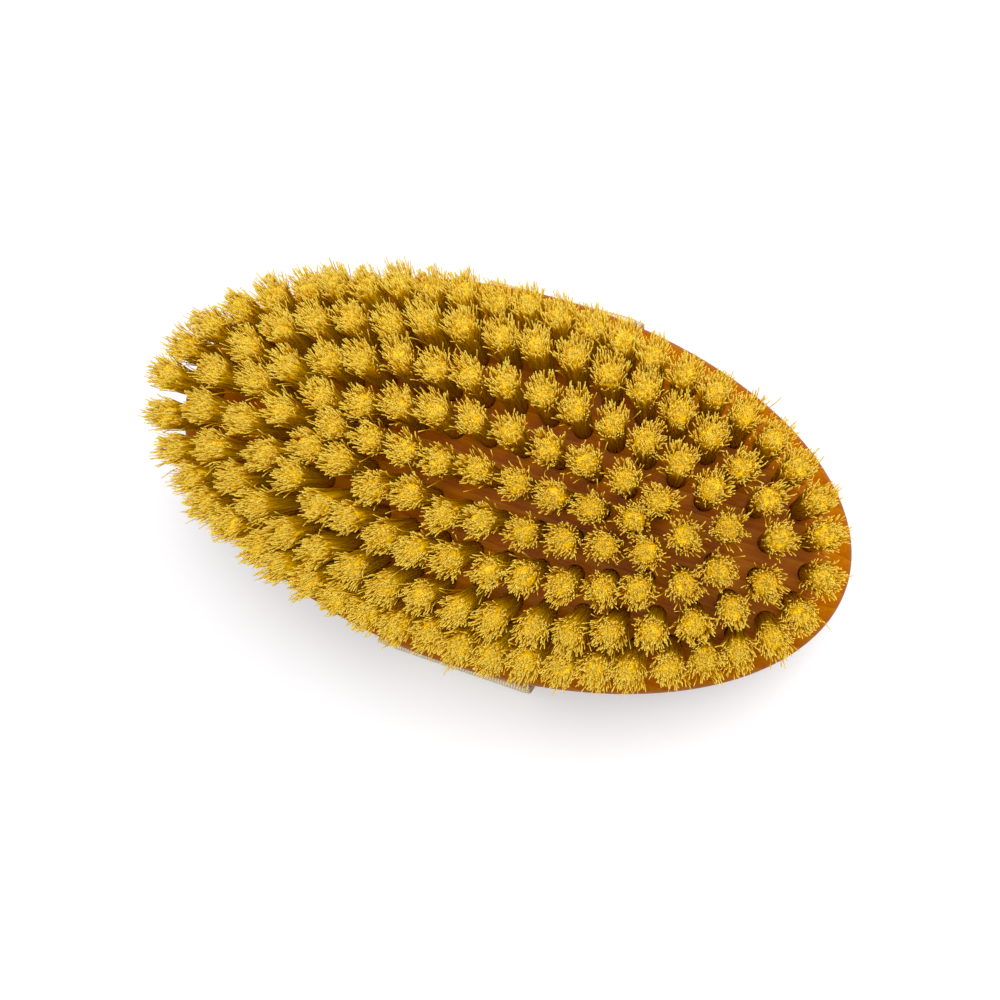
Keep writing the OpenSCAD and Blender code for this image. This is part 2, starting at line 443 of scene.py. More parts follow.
@dataclass(frozen=True)
class CottonWebbing:
    """Undyed cotton webbing, woven with a heavy weft: matt cream ribs with a soft nap."""

    thread: str = "#fff2d0"
    # Colour in the hollows between threads, darker as painted shade.
    gap_shade: str = "#c8a468"
    rib_pitch: float = 1.1
    warp_pitch: float = 0.55
    fuzz_size: float = 1 / 3
    fuzz_share: float = 0.4
    relief_depth: float = 0.15
    roughness: float = 0.85

    def threads(
        self, tree: bpy.types.NodeTree, flat: bpy.types.NodeSocket, axis: str, pitch: float
    ) -> bpy.types.NodeSocket:
        """Waves with a crest on each thread, which the mesh has at 0 for the ribs.

        Args:
            tree: the material's node tree.
            flat: places on the flat webbing, in millimetres.
            axis: X or Y, the direction in which thread follows thread.
            pitch: distance from thread to thread.

        Returns:
            A height from 0 between threads to 1 on a crest.
        """
        phase = math.pi if axis == "Y" else 0.0
        waves = add_node(
            tree,
            "ShaderNodeTexWave",
            {"bands_direction": axis},
            {"Vector": flat, "Scale": WAVE_PERIOD / pitch, "Phase Offset": phase},
        )
        return waves.outputs["Fac"]

    def material(self) -> bpy.types.Material:
        """Builds the material.

        Returns:
            Threads across and along the webbing, darker in the hollows between them as painted
            shade, with a light stain from the nap's noise.
        """
        material, tree = new_material("woven_cotton_webbing")
        flat = add_node(tree, "ShaderNodeUVMap", {"uv_map": "Cloth"}).outputs[0]
        warp = self.threads(tree, flat, "X", self.warp_pitch)
        ribs = self.threads(tree, flat, "Y", self.rib_pitch)
        weave = combine(tree, "MULTIPLY", warp, ribs)
        fuzz = noise(tree, flat, 1 / self.fuzz_size, 3.0)
        height = add_node(
            tree,
            "ShaderNodeMath",
            {"operation": "MULTIPLY_ADD"},
            {0: fuzz.outputs["Fac"], 1: self.fuzz_share, 2: weave},
        ).outputs[0]
        # The colour runs from gap to thread with the height: painted shade in the hollows between
        # threads, and a light stain where the nap's noise moves the height.
        surface = add_node(
            tree,
            "ShaderNodeBsdfPrincipled",
            inputs={
                "Base Color": ramp(tree, [(0.1, self.gap_shade), (0.6, self.thread)], height),
                "Roughness": self.roughness,
                "Sheen Weight": 0.15,
                "Sheen Roughness": 0.5,
                "Normal": bump(tree, height, self.relief_depth, 0.6),
            },
        )
        show_surface(tree, surface)
        return material


@dataclass(frozen=True)
class NickelledSteel:
    """Steel nails, headed and nickelled: pale metal whose handling marks break up reflections."""

    clean: str = "#c9cbce"
    aged: str = "#8f9093"
    mark_size: float = 0.6
    dent_depth: float = 0.05
    polished: float = 0.22
    worn: float = 0.42

    def material(self) -> bpy.types.Material:
        """Builds the material.

        Returns:
            A metal with dulled patches and small dents.
        """
        material, tree = new_material("nickelled_steel")
        place = add_node(tree, "ShaderNodeTexCoord").outputs["Object"]
        marks = noise(tree, place, 1 / (self.mark_size * MM), 4.0).outputs["Fac"]
        surface = add_node(
            tree,
            "ShaderNodeBsdfPrincipled",
            inputs={
                "Base Color": ramp(tree, [(0.35, self.aged), (0.65, self.clean)], marks),
                "Metallic": 1.0,
                "Roughness": between(tree, marks, self.worn, self.polished),
                "Normal": bump(tree, marks, self.dent_depth, 0.2),
            },
        )
        show_surface(tree, surface)
        return material


@dataclass(frozen=True)
class DrawnSteel:
    """Steel wire, drawn and rolled flat: grey metal with fine lines along its length."""

    bright: str = "#b9b6ae"
    dull: str = "#7d7a73"
    line_spacing: float = 0.12
    line_length: float = 3.6
    roughness: float = 0.38

    def material(self) -> bpy.types.Material:
        """Builds the material.

        Returns:
            A metal with drawing lines along X.
        """
        material, tree = new_material("drawn_steel")
        place = add_node(tree, "ShaderNodeTexCoord").outputs["Object"]
        line_size = (self.line_length, self.line_spacing, self.line_spacing)
        lines = noise(tree, stretch(tree, place, line_size), 1.0, 2.0).outputs["Fac"]
        surface = add_node(
            tree,
            "ShaderNodeBsdfPrincipled",
            inputs={
                "Base Color": ramp(tree, [(0.3, self.dull), (0.7, self.bright)], lines),
                "Metallic": 1.0,
                "Roughness": self.roughness,
            },
        )
        show_surface(tree, surface)
        return material


# The brush


class Ring(Enum):
    """A ring or row of tufts, named as in the CAD nodes."""

    CENTRE_ROW = "centre_row"
    INNER = "inner_ring"
    THIRD = "third_ring"
    SECOND = "second_ring"
    OUTER = "outer_ring"


@dataclass(frozen=True)
class DrillPlan:
    """Where the block's holes are and how they lean, with the sizes of the part's source."""

    block_length: float = 132.0
    block_width: float = 72.0
    face_height: float = 32.8
    end_margin: float = 7.1
    side_margin: float = 9.6
    ring_step_end: float = 7.6
    outer_step_side: float = 5.3
    end_splay: float = 5.0
    side_splay: float = 12.5
    hole_diameter: float = 3.8
    hole_depth: float = 9.0
    drill_point_angle: float = 118.0
    chisel_width: float = 0.8
    tuft_length: float = 19.0
    oval_steps: int = 360
    pitches: dict[Ring, float] = field(
        default_factory=lambda: {
            Ring.OUTER: 5.8,
            Ring.SECOND: 6.6,
            Ring.THIRD: 6.5,
            Ring.INNER: 6.9,
            Ring.CENTRE_ROW: 6.8,
        }
    )
    phases: dict[Ring, float] = field(
        default_factory=lambda: {
            Ring.OUTER: 0.0,
            Ring.SECOND: 0.5,
            Ring.THIRD: 0.5,
            Ring.INNER: 0.0,
        }
    )

    @property
    def field_half_length(self) -> float:
        """Half length of the outer ring of holes."""
        return self.block_length / 2 - self.end_margin

    @property
    def field_half_width(self) -> float:
        """Half width of the outer ring of holes."""
        return self.block_width / 2 - self.side_margin

    @property
    def inner_step_side(self) -> float:
        """Step between the inner rings, and between the last of them and the row, across."""
        return (self.field_half_width - self.outer_step_side) / 3

    @property
    def row_gap(self) -> float:
        """Distance from the centre row to the inner ring that keeps leaning tufts apart."""
        room = min(*self.pitches.values(), self.outer_step_side, self.inner_step_side)
        spread = self.tuft_length * math.tan(math.radians(self.side_splay)) / self.field_half_width
        return room / (1 + spread)

    @property
    def drill_point_depth(self) -> float:
        """Depth of the drill point below the straight part of a hole."""
        slope = math.tan(math.radians(self.drill_point_angle / 2))
        return (self.hole_diameter - self.chisel_width) / 2 / slope

    def ring_size(self, step: int) -> np.ndarray:
        """Half length and half width of the ring that lies some steps inside the outer one."""
        inward = self.outer_step_side + (step - 1) * self.inner_step_side if step else 0.0
        half_length = self.field_half_length - step * self.ring_step_end
        return np.array([half_length, self.field_half_width - inward])

    def centres(self, ring: Ring) -> np.ndarray:
        """Hole positions of one ring or row on the bristle face.

        Args:
            ring: the ring or row.

        Returns:
            Rows of X and Y.
        """
        pitch = self.pitches[ring]
        if ring is Ring.CENTRE_ROW:
            half_length, half_width = self.ring_size(3)
            reach = half_length * math.sqrt(1 - min(1.0, self.row_gap / half_width) ** 2)
            count = math.floor(reach / pitch)
            return np.array([[i * pitch, 0.0] for i in range(-count, count + 1)])
        size = self.ring_size([Ring.OUTER, Ring.SECOND, Ring.THIRD, Ring.INNER].index(ring))
        angles = np.radians(np.arange(self.oval_steps + 1) * 360 / self.oval_steps)
        oval = size * np.stack([np.cos(angles), np.sin(angles)], axis=1)
        walked = np.concatenate([[0.0], np.cumsum(np.linalg.norm(np.diff(oval, axis=0), axis=1))])
        holes = 2 * round(walked[-1] / pitch / 2)
        distances = (np.arange(holes) + self.phases[ring]) * walked[-1] / holes
        at = np.interp(distances, walked, angles)
        return size * np.stack([np.cos(at), np.sin(at)], axis=1)

    def frames(self, ring: Ring) -> np.ndarray:
        """Frames of one ring's holes: origin on the bristle face, Z out along the leaning hole.

        Args:
            ring: the ring or row.

        Returns:
            One 3 by 4 matrix for each hole, in millimetres.
        """
        frames = []
        for x, y in self.centres(ring):
            lean_x = math.atan(math.tan(math.radians(self.end_splay)) * x / self.field_half_length)
            slope_y = math.tan(math.radians(self.side_splay)) * y / self.field_half_width
            lean_y = math.atan(slope_y * math.cos(lean_x))
            turn = np.array(Euler((-lean_y, lean_x, 0.0)).to_matrix())
            frames.append(np.column_stack([turn, [x, y, self.face_height]]))
        return np.array(frames)

    def all_frames(self) -> np.ndarray:
        """Frames of all holes."""
        return np.concatenate([self.frames(ring) for ring in Ring])


def place_points(frames: np.ndarray, points: np.ndarray) -> np.ndarray:
    """Moves local points to each of several frames.

    Args:
        frames: 3 by 4 matrices, along the first axis.
        points: points whose first axis matches the frames' first axis.

    Returns:
        The placed points, in the same shape.
    """
    return np.einsum("fij,f...j->f...i", frames[:, :, :3], points) + frames[:, :, 3].reshape(
        (len(frames),) + (1,) * (points.ndim - 2) + (3,)
    )


@dataclass
class Block:
    """Oval wooden block with its leaning tuft holes.

    The anchors' slots and the nail holes are left out, because tufts and nails hide them.
    """

    plan: DrillPlan
    thickness: float = 18.0
    face_edge_radius: float = 3.0
    back_edge_radius: float = 5.0
    back_crown: float = 1.5
    round_steps: int = 12
    crown_steps: int = 24
    turns: int = 288
    hole_sides: int = 32
    hub: float = 0.02
    rim: float = 0.15
    overcut: float = 1.0
    sharp_angle: float = 35.0

    def profile(self) -> np.ndarray:
        """Half section across the middle of the block.

        Returns:
            Rows of radius and height over the lowest point of the back, from bottom to top.
        """
        half = self.plan.block_width / 2
        chord = half - self.back_edge_radius
        bow = (chord**2 + self.back_crown**2) / 2 / self.back_crown
        reach = np.linspace(self.hub, 1, self.crown_steps) * chord
        back = np.column_stack([reach, bow - np.sqrt(bow**2 - reach**2)])
        turn = np.radians(np.linspace(0, 90, self.round_steps + 1))
        low = np.column_stack(
            [
                chord + self.back_edge_radius * np.sin(turn),
                self.back_crown + self.back_edge_radius * (1 - np.cos(turn)),
            ]
        )
        high = np.column_stack(
            [
                half - self.face_edge_radius * (1 - np.cos(turn)),
                self.thickness - self.face_edge_radius * (1 - np.sin(turn)),
            ]
        )
        flat = [[half - self.face_edge_radius - self.rim, self.thickness]]
        return np.concatenate([back[:-1], low, high, flat])

    def body(self) -> bpy.types.Object:
        """Undrilled block, drawn out along X to its oval."""
        points, faces = turned_grid(self.profile(), self.turns)
        points[:, 0] *= self.plan.block_length / self.plan.block_width
        points[:, 2] += self.plan.face_height - self.thickness
        return new_object("wooden_block", new_mesh("wooden_block", points, faces))

    def drills(self) -> bpy.types.Object:
        """Solids of all tuft holes, as one cutter."""
        plan = self.plan
        profile = np.array(
            [
                [plan.chisel_width / 2, -plan.hole_depth - plan.drill_point_depth],
                [plan.hole_diameter / 2, -plan.hole_depth],
                [plan.hole_diameter / 2, self.overcut],
            ]
        )
        points, faces = turned_grid(profile, self.hole_sides)
        frames = plan.all_frames()
        placed = place_points(frames, np.broadcast_to(points, (len(frames), *points.shape)))
        shifts = np.arange(len(frames)) * len(points)
        copies = [
            (group[None] + shifts[:, None, None]).reshape(-1, group.shape[1]) for group in faces
        ]
        return new_object("drills", new_mesh("drills", placed.reshape(-1, 3), copies))

    def build(self) -> None:
        """Drills the block, sets its shading and ties it to the frame."""
        block = self.body()
        cutter = self.drills()
        cut = block.modifiers.new("holes", "BOOLEAN")
        cut.operation = "DIFFERENCE"
        cut.solver = "EXACT"
        cut.object = cutter
        depsgraph = bpy.context.evaluated_depsgraph_get()
        drilled = bpy.data.meshes.new_from_object(block.evaluated_get(depsgraph))
        block.modifiers.clear()
        block.data = drilled
        bpy.data.objects.remove(cutter)
        drilled.shade_smooth()
        drilled.set_sharp_from_angle(angle=math.radians(self.sharp_angle))
        drilled.materials.clear()
        drilled.materials.append(LacqueredWood().material())
        show_piece(block, ["block"])


@dataclass(frozen=True)
class Stand:
    """How the tufts of one ring stand: their holes, and where they lean and fan out.

    The frames are the holes' frames. Outward is each tuft's direction away from the middle of
    the block. The fan is how far the outer side of a tuft falls outwards at its tip, and the
    lean how far each tuft's tip stands beside its hole's axis.
    """

    frames: np.ndarray
    outward: np.ndarray
    fan: float
    lean: np.ndarray


@dataclass
class BristleField:
    """All tufts, each a bundle of strands folded under the anchor in its hole.

    A lock is a group of tips that lean together, a stray is a strand that bows far out, and a
    core is a tuft's packed middle. Shares and heights, the shoulder and the top of a core among
    them, are parts of a tuft's length or of its radius, and the other sizes are millimetres.
    The baked values place a strand's colours in the OFBake UV map.
    """

    plan: DrillPlan
    strands_per_tuft: int = 125
    tufts_per_piece: int = 16
    strand_diameter: float = 0.16
    thickest: float = 1.4
    thinnest: float = 0.9
    tip_width: float = 1.1
    root_radius: float = 1.75
    tip_radius: float = 2.35
    opening_power: float = 2.8
    fan_power: float = 1.6
    anchor_share: float = 0.12
    leg_jitter: float = 0.04
    fold_height: float = -7.7
    fold_depth: float = 1.1
    fold_corner: float = 0.5
    length_spread: float = 0.5
    longest: float = 1.3
    tuft_lean: float = 0.35
    bow: float = 0.6
    bow_range: tuple[float, float] = (0.2, 1.4)
    stray_share: float = 0.1
    stray_bow: float = 1.8
    locks: int = 40
    lock_pull: float = 0.5
    lock_splay: float = 0.55
    lock_range: tuple[float, float] = (0.2, 1.2)
    lock_wander: float = 0.25
    lock_length: float = 0.4
    lock_power: float = 5.0
    flare: float = 0.25
    crimp: float = 0.2
    crimp_power: float = 4.0
    core_share: float = 0.84
    core_sides: int = 64
    core_foot: float = -0.12
    core_shoulder: float = 0.84
    core_top: float = 0.935
    core_wall_rings: int = 6
    core_dome_rings: int = 11
    core_edge: float = 0.96
    core_hub: float = 0.06
    core_flute: float = 0.05
    core_roughness: float = 0.35
    core_tones: tuple[float, float] = (0.6, 1.0)
    tones: int = 32
    baked_foot: float = 0.02
    baked_height: float = 0.97
    baked_end: float = 0.01
    baked_spread: float = 0.35
    seed: int = 20
    heights: tuple[float, ...] = (0.0, 0.45, 0.7, 0.87, 1.0)
    fans: dict[Ring, float] = field(
        default_factory=lambda: {
            Ring.OUTER: 0.2,
            Ring.SECOND: 0.3,
            Ring.THIRD: 0.3,
            Ring.INNER: 0.2,
            Ring.CENTRE_ROW: 0.0,
        }
    )

    def sections(self, count: int, rng: np.random.Generator) -> np.ndarray:
        """Places of the strands' two legs in the hole, as shares of its radius.

        Args:
            count: number of tufts.
            rng: source of the random draws.

        Returns:
            Array of tuft, strand, leg and X and Y. The legs stand on both sides of the anchor.
        """
        number = np.arange(2 * self.strands_per_tuft)
        golden = math.pi * (3 - math.sqrt(5))
        angle = number * golden + rng.uniform(0, 2 * math.pi, (count, 1))
        radius = np.sqrt((number + 0.5) / len(number))
        disc = np.stack([radius * np.cos(angle), radius * np.sin(angle)], axis=2)
        order = np.argsort(-disc[:, :, 1:], axis=1)
        half = np.take_along_axis(disc, order, axis=1)[:, : self.strands_per_tuft]
        half[:, :, 1] = np.maximum(np.abs(half[:, :, 1]), self.anchor_share)
        legs = np.stack([half, half * [1, -1]], axis=2)
        return legs + rng.normal(0, self.leg_jitter, legs.shape)

    def locked(self, legs: np.ndarray, rng: np.random.Generator) -> tuple[np.ndarray, np.ndarray]:
        """Gathers the legs' tips into pointed locks that spread away from the tuft's middle.

        Args:
            legs: the legs' places in the hole, as shares of its radius.
            rng: source of the random draws.

        Returns:
            The shift of each leg's tip across the tuft and its extra length, in millimetres.
        """
        tufts = len(legs)
        shape = (tufts, self.locks)
        angle = rng.uniform(0, 2 * math.pi, shape)
        radius = np.sqrt(rng.uniform(0, 1, shape))
        centres = np.stack([radius * np.cos(angle), radius * np.sin(angle)], axis=2)
        away = np.linalg.norm(legs[:, :, :, None] - centres[:, None, None], axis=4)
        nearest = np.argmin(away, axis=3).reshape(tufts, -1)
        splay = self.lock_splay * rng.uniform(*self.lock_range, (*shape, 1))
        moves = centres * splay + rng.normal(0, self.lock_wander, (*shape, 2))
        lengths = rng.normal(0, self.lock_length, shape)
        centre, move = (
            np.take_along_axis(values, nearest[:, :, None], axis=1).reshape(legs.shape)
            for values in (centres, moves)
        )
        longer = np.take_along_axis(lengths, nearest, axis=1).reshape(legs.shape[:3])
        return (centre - legs) * self.lock_pull * self.tip_radius + move, longer

    def bundle(self, places: np.ndarray, share: np.ndarray, stand: Stand) -> np.ndarray:
        """Smooth course of the tufts: where places in the holes come to higher up.

        Args:
            places: places across each hole, as shares of its radius.
            share: heights over the bristle face, as shares of the tuft's length.
            stand: how the tufts stand.

        Returns:
            Array of tuft, place, height, and X and Y, in millimetres.
        """
        share = np.maximum(share, 0)
        opening = 1 - (1 - share) ** self.opening_power
        radius = self.root_radius + (self.tip_radius - self.root_radius) * opening
        outer = np.clip(0.5 + 0.5 * np.einsum("tpc,tc->tp", places, stand.outward), 0, 1)
        fall = stand.fan * outer[:, :, None] * share**self.fan_power
        side = places[:, :, None] * radius[:, None]
        side = side + fall[..., None] * stand.outward[:, None, None]
        return side + stand.lean[:, None, None] * share[:, None]

    def cores(self, stand: Stand, rng: np.random.Generator) -> tuple[np.ndarray, np.ndarray]:
        """Packed middles of the tufts, which the strands stand round and rise from.

        Args:
            stand: how the tufts stand.
            rng: source of the random draws.

        Returns:
            Points as tuft, ring, side and coordinate, and the share of a leg's length at each.
        """
        wall = np.linspace(self.core_foot, self.core_shoulder, self.core_wall_rings)
        inward = np.linspace(self.core_edge, self.core_hub, self.core_dome_rings)
        dome = self.core_shoulder + (self.core_top - self.core_shoulder) * (1 - inward**3)
        width = self.core_share * np.concatenate([np.ones(len(wall)), inward])
        height = np.concatenate([wall, dome])
        angle = np.arange(self.core_sides) * 2 * math.pi / self.core_sides
        circle = np.stack([np.cos(angle), np.sin(angle)], axis=1)
        rings = []
        for reach, share in zip(width, height):
            places = np.broadcast_to(circle * reach, (len(stand.frames), *circle.shape))
            rings.append(self.bundle(places, np.array([share]), stand)[:, :, 0])
        side = np.stack(rings, axis=1)
        flutes = rng.normal(0, self.core_flute, (len(stand.frames), 1, self.core_sides, 1))
        side = side + circle * flutes * width[:, None, None]
        tuft_length, hole_depth = self.plan.tuft_length, self.plan.hole_depth
        rise = np.broadcast_to((height * tuft_length)[:, None], side.shape[:3])
        rough = self.core_roughness * (height > self.core_shoulder)[:, None]
        rise = rise + rng.normal(0, 1, side.shape[:3]) * rough
        climb = (hole_depth + rise) / (hole_depth + tuft_length)
        return place_points(stand.frames, np.concatenate([side, rise[..., None]], axis=3)), climb

    def exposed(self, legs: np.ndarray, stand: Stand, rng: np.random.Generator) -> np.ndarray:
        """Centre lines of the legs above the bristle face, in each tuft's own frame.

        Args:
            legs: the legs' places in the hole, as shares of its radius.
            stand: how the tufts stand.
            rng: source of the random draws.

        Returns:
            Array of tuft, strand, leg, point and coordinate.
        """
        shape = legs.shape[:3]
        share = np.array(self.heights)
        places = legs.reshape(len(legs), -1, 2)
        side = self.bundle(places, share, stand).reshape(*shape, len(share), 2)
        shift, longer = self.locked(legs, rng)
        shift = shift + self.flare * legs
        side = side + shift[:, :, :, None] * (share**self.lock_power)[:, None]
        side = side + rng.normal(0, self.crimp, side.shape) * (share**self.crimp_power)[:, None]
        stray = rng.uniform(0, 1, shape) < self.stray_share
        bow = np.where(stray, self.stray_bow, self.bow) * rng.uniform(*self.bow_range, shape)
        heading = rng.uniform(0, 2 * math.pi, shape)
        away = np.stack([np.cos(heading), np.sin(heading)], axis=3)
        side = side + (bow[..., None] * away)[:, :, :, None] * (share**2)[:, None]
        spread = longer + rng.normal(0, self.length_spread, shape)
        length = self.plan.tuft_length + np.minimum(spread, self.longest)
        drop = (bow**2 + stand.fan**2) / 2 / self.plan.tuft_length
        rise = length[..., None] * share - drop[..., None] * share**2
        return np.concatenate([side, rise[..., None]], axis=4)

    def strand_paths(
        self, stand: Stand, rng: np.random.Generator
    ) -> tuple[np.ndarray, np.ndarray]:
        """Centre lines of all strands of one ring, from tip to fold to tip.

        Args:
            stand: how the tufts stand.
            rng: source of the random draws.

        Returns:
            Points as tuft, strand, point and coordinate, and the share of a leg's length at
            each point, which is 0 at the fold and 1 at both tips.
        """
        hole_depth, tuft_length = self.plan.hole_depth, self.plan.tuft_length
        legs = self.sections(len(stand.frames), rng)
        above = self.exposed(legs, stand, rng)
        level = self.fold_height - self.fold_depth * np.abs(legs[..., 1]).mean(axis=2)
        corner_z = np.repeat(level[:, :, None, None] + self.fold_corner, 2, axis=2)
        corner = np.concatenate([legs * self.root_radius, corner_z], axis=3)
        fold = np.stack(
            [legs[..., 0].mean(axis=2) * self.root_radius, np.zeros(level.shape), level], axis=2
        )
        leg = np.concatenate([corner[:, :, :, None], above], axis=3)
        path = np.concatenate([leg[:, :, 0, ::-1], fold[:, :, None], leg[:, :, 1]], axis=2)
        climb = [self.fold_corner, *(hole_depth + np.array(self.heights) * tuft_length)]
        along = np.array(climb) / (hole_depth + tuft_length)
        return place_points(stand.frames, path), np.concatenate([along[::-1], [0.0], along])

    def tubes(
        self, paths: np.ndarray, rng: np.random.Generator
    ) -> tuple[np.ndarray, np.ndarray, np.ndarray]:
        """Three-sided tubes round the centre lines.

        Args:
            paths: points as strand, point and coordinate.
            rng: source of the random draws.

        Returns:
            The vertices, the side faces and the end faces.
        """
        strands, steps, _ = paths.shape
        tangent = np.gradient(paths, axis=1)
        tangent /= np.linalg.norm(tangent, axis=2, keepdims=True)
        across = np.array([1.0, 0.0, 0.0])
        normal = across - (tangent @ across)[..., None] * tangent
        normal /= np.linalg.norm(normal, axis=2, keepdims=True)
        binormal = np.cross(tangent, normal)
        turn = rng.uniform(0, 2 * math.pi, (strands, 1, 1)) + np.arange(3) * 2 * math.pi / 3
        widths = rng.uniform(self.thinnest, self.thickest, (strands, 1, 1, 1))
        radius = self.strand_diameter / 2 * widths
        taper = np.ones((steps, 1, 1))
        taper[[0, -1]] = self.tip_width
        ring = np.cos(turn)[..., None] * normal[:, :, None]
        ring = ring + np.sin(turn)[..., None] * binormal[:, :, None]
        points = paths[:, :, None] + radius * taper * ring
        number = np.arange(strands * steps * 3).reshape(strands, steps, 3)
        beside = np.roll(number, -1, axis=2)
        sides = [number[:, :-1], beside[:, :-1], beside[:, 1:], number[:, 1:]]
        ends = np.concatenate([number[:, 0, ::-1], number[:, -1]])
        return points.reshape(-1, 3), np.stack(sides, axis=3).reshape(-1, 4), ends

    def baked_places(
        self,
        values: dict[str, np.ndarray],
        strand_points: int,
        faces: Sequence[np.ndarray],
    ) -> np.ndarray:
        """Places in the OFBake UV map: a column for each tone, and rows along the strand.

        Args:
            values: the tone and the share of a leg's length at each point.
            strand_points: number of points that belong to strands.
            faces: side faces and end faces of the strands, then those of the cores.

        Returns:
            One row for each corner of the faces. No face has all its corners in one place.
        """
        column = values["tone"].copy()
        turn = np.tile([-self.baked_spread, 0.0, self.baked_spread], strand_points // 3)
        column[:strand_points] += turn / self.tones
        corners = np.concatenate([group.ravel() for group in faces])
        row = self.baked_foot + self.baked_height * values["along"][corners]
        sides, ends, core_sides, _ = (group.size for group in faces)
        row[sides : sides + ends : 3] -= self.baked_end
        row[sides + ends + core_sides :: 3] -= self.baked_end
        return np.stack([column[corners], row], axis=1)

    def build_piece(
        self,
        name: str,
        ring: Ring,
        strands: tuple[np.ndarray, np.ndarray],
        cores: tuple[np.ndarray, np.ndarray],
        material: bpy.types.Material,
        rng: np.random.Generator,
    ) -> None:
        """Builds some of one ring's tufts as one piece.

        Args:
            name: the piece's name.
            ring: the ring or row.
            strands: the strands' centre lines, and the share of a leg's length at their points.
            cores: the cores' points, and the share of a leg's length at each.
            material: the strands' finish.
            rng: source of the random draws.
        """
        paths, along = strands
        body, climb = cores
        count, steps, _ = paths.shape
        tufts, rows, around, _ = body.shape
        points, sides, ends = self.tubes(paths, rng)
        firsts = len(points) + np.arange(tufts) * rows * around
        core_faces = [
            (group + firsts[:, None, None]).reshape(-1, group.shape[1])
            for group in stacked_faces(rows, around)
        ]
        faces = [sides, ends, *core_faces]
        mesh = new_mesh(name, np.concatenate([points, body.reshape(-1, 3)]), faces)
        tone = (rng.integers(0, self.tones, count) + 0.5) / self.tones
        core_tone = rng.uniform(*self.core_tones, climb.shape)
        values = {
            "tone": np.concatenate([np.repeat(tone, steps * 3), core_tone.ravel()]),
            "along": np.concatenate([np.tile(np.repeat(along, 3), count), climb.ravel()]),
            "packed": np.concatenate([np.zeros(len(points)), np.ones(climb.size)]),
        }
        for label, numbers in values.items():
            layer = mesh.attributes.new(label, "FLOAT", "POINT")
            layer.data.foreach_set("value", numbers.astype(np.float32))
        places = self.baked_places(values, len(points), faces)
        baked = mesh.uv_layers.new(name="OFBake")
        baked.data.foreach_set("uv", places.ravel().astype(np.float32))
        smooth = np.ones(len(mesh.polygons), bool)
        smooth[len(sides) : len(sides) + len(ends)] = False
        mesh.polygons.foreach_set("use_smooth", smooth)
        mesh.materials.append(material)
        show_piece(new_object(name, mesh), [f"tufts_{ring.value}"])

    def build(self) -> None:
        """Builds every ring and row, in pieces of a limited number of tufts."""
        material = PlantFibre().material()
        plan = self.plan
        for place, ring in enumerate(Ring):
            rng = np.random.default_rng([self.seed, place])
            frames = plan.frames(ring)
            outward = frames[:, :2, 3] / [plan.field_half_length**2, plan.field_half_width**2]
            outward /= np.maximum(np.linalg.norm(outward, axis=1, keepdims=True), 1e-9)
            lean = rng.normal(0, self.tuft_lean, (len(frames), 2))
            stand = Stand(frames, outward, self.fans[ring], lean)
            paths, along = self.strand_paths(stand, rng)
            cores, climb = self.cores(stand, rng)
            pieces = math.ceil(len(frames) / self.tufts_per_piece)
            for number, tufts in enumerate(np.array_split(np.arange(len(frames)), pieces), start=1):
                name = f"bristles_{ring.value}_{number}"
                strands = (paths[tufts].reshape(-1, len(along), 3), along)
                self.build_piece(name, ring, strands, (cores[tufts], climb[tufts]), material, rng)


